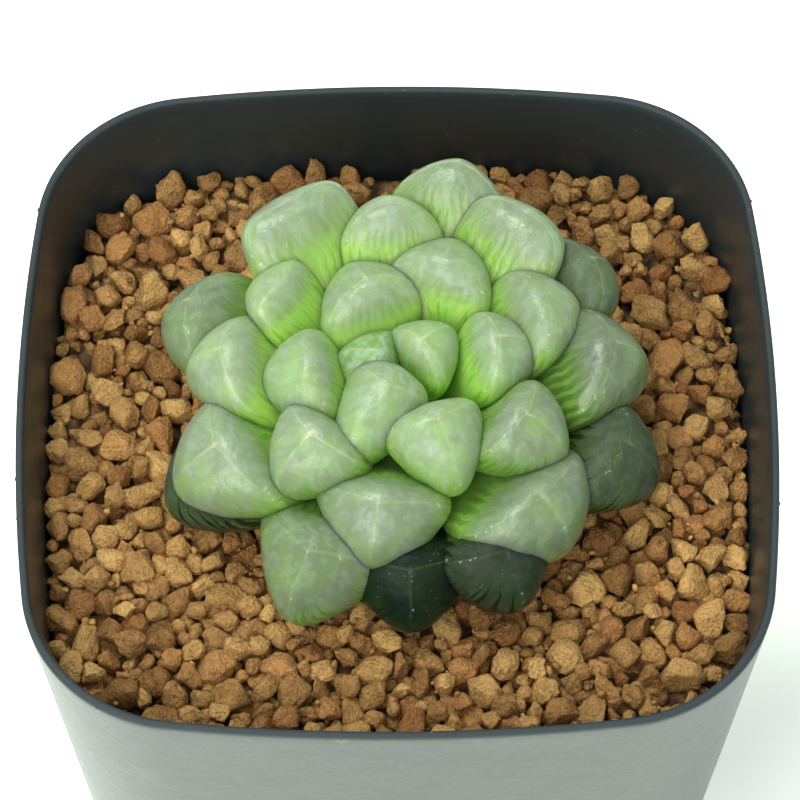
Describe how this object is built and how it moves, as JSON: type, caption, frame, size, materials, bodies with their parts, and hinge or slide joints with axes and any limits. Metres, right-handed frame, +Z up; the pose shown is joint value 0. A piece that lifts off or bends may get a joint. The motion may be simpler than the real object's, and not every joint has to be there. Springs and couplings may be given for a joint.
{
  "type": "potted haworthia",
  "caption": "Small succulent rosette of fat, blunt, translucent leaves in granular soil, in a thin tapering square plastic nursery pot.",
  "frame": {"origin": "middle of the pot's underside, on the surface it stands on", "axes": "+Z up, X and Y square to the pot's sides, -Y towards the picture's viewer"},
  "size_m": [0.075, 0.075, 0.0739],
  "materials": {
    "pot_plastic": "thin black plastic, semi-gloss, slightly scuffed",
    "granular_soil": "matt, rough baked clay granules, orange-brown",
    "stem_flesh": "pale waxy flesh",
    "young_leaf": "translucent waxy skin, pale yellow-green, with darker green veins",
    "grown_leaf": "translucent waxy skin, grey-green window with darker green veins",
    "shaded_leaf": "translucent waxy skin, deep blue-green with dark veins"
  },
  "bodies": {
    "root": {"pot": "pot_plastic", "soil": "granular_soil", "stem_and_roots": "stem_flesh", "leaf_01": "young_leaf", "leaf_02": "young_leaf", "leaf_03": "young_leaf", "leaf_04": "young_leaf", "leaf_05": "young_leaf", "leaf_06": "young_leaf", "leaf_07": "young_leaf", "leaf_08": "young_leaf", "leaf_09": "young_leaf", "leaf_10": "young_leaf", "leaf_11": "young_leaf", "leaf_12": "young_leaf", "leaf_13": "young_leaf", "leaf_14": "grown_leaf", "leaf_15": "grown_leaf", "leaf_16": "grown_leaf", "leaf_17": "grown_leaf", "leaf_18": "grown_leaf", "leaf_19": "grown_leaf", "leaf_20": "grown_leaf", "leaf_21": "grown_leaf", "leaf_22": "shaded_leaf", "leaf_23": "shaded_leaf", "leaf_24": "shaded_leaf", "leaf_25": "shaded_leaf", "leaf_26": "shaded_leaf", "leaf_27": "shaded_leaf", "leaf_28": "shaded_leaf", "leaf_29": "shaded_leaf"}
  },
  "joints": []
}
